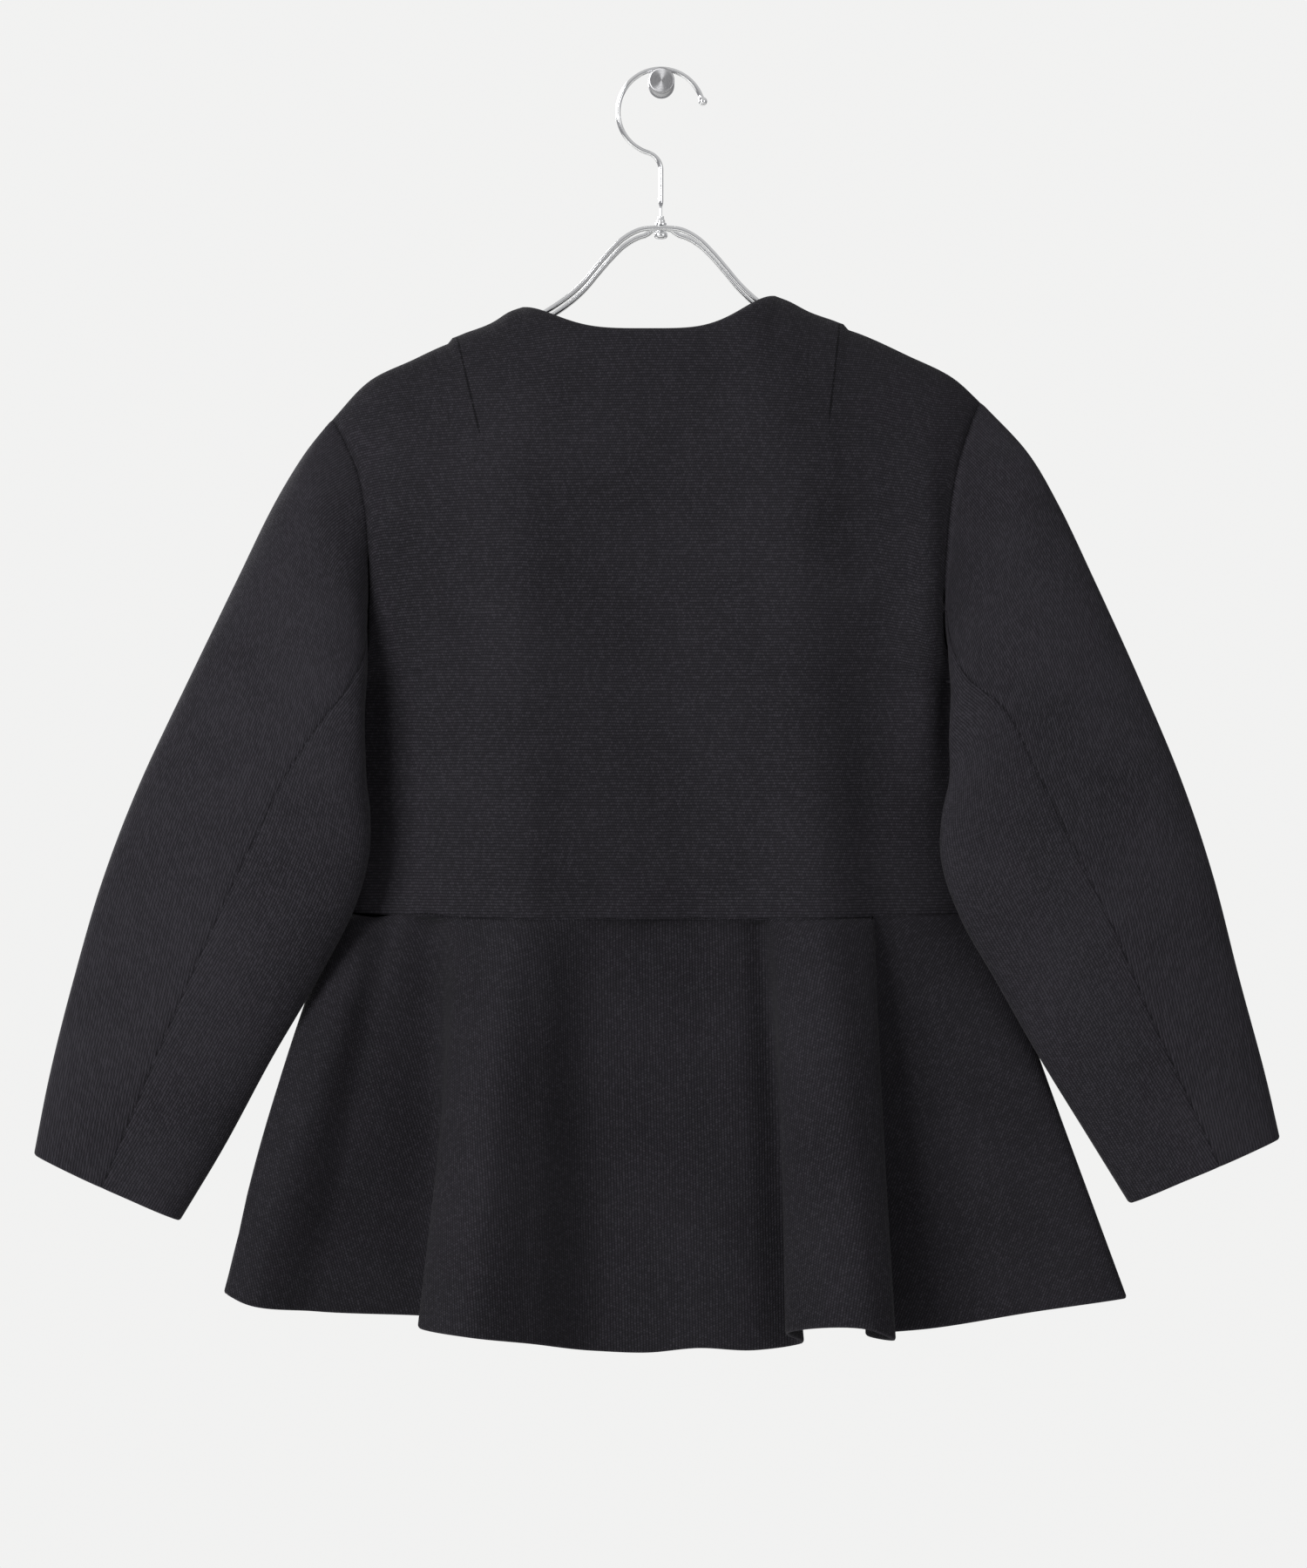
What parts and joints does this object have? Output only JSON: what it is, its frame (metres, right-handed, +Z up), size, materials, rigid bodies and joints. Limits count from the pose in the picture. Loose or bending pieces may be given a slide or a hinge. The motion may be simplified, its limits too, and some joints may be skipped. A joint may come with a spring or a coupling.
{
  "type": "collarless peplum jacket on a wire hanger",
  "caption": "Collarless black double-knit jacket with a fluted peplum, hung back outwards by a chrome wire hanger on a steel wall peg.",
  "frame": {"origin": "centre of the wall peg's flat face on the wall, where the whole object is held", "axes": "+X to the viewer's right, +Y into the wall, +Z up; the viewer sees the jacket's back"},
  "size_m": [0.703, 0.118, 0.7274],
  "materials": {
    "black_knit": "matt black double knit with fine ribs",
    "chrome_wire": "polished",
    "brushed_steel": "brushed"
  },
  "bodies": {
    "root": {"back_bodice": "black_knit", "front_bodice_left": "black_knit", "front_bodice_right": "black_knit", "upper_sleeve_left": "black_knit", "upper_sleeve_right": "black_knit", "under_sleeve_left": "black_knit", "under_sleeve_right": "black_knit", "peplum_back": "black_knit", "peplum_front_left": "black_knit", "peplum_front_right": "black_knit", "hanger_bar": "chrome_wire", "hanger_hook": "chrome_wire", "swivel_collar": "chrome_wire", "swivel_nut": "chrome_wire", "wall_peg": "brushed_steel"}
  },
  "joints": []
}
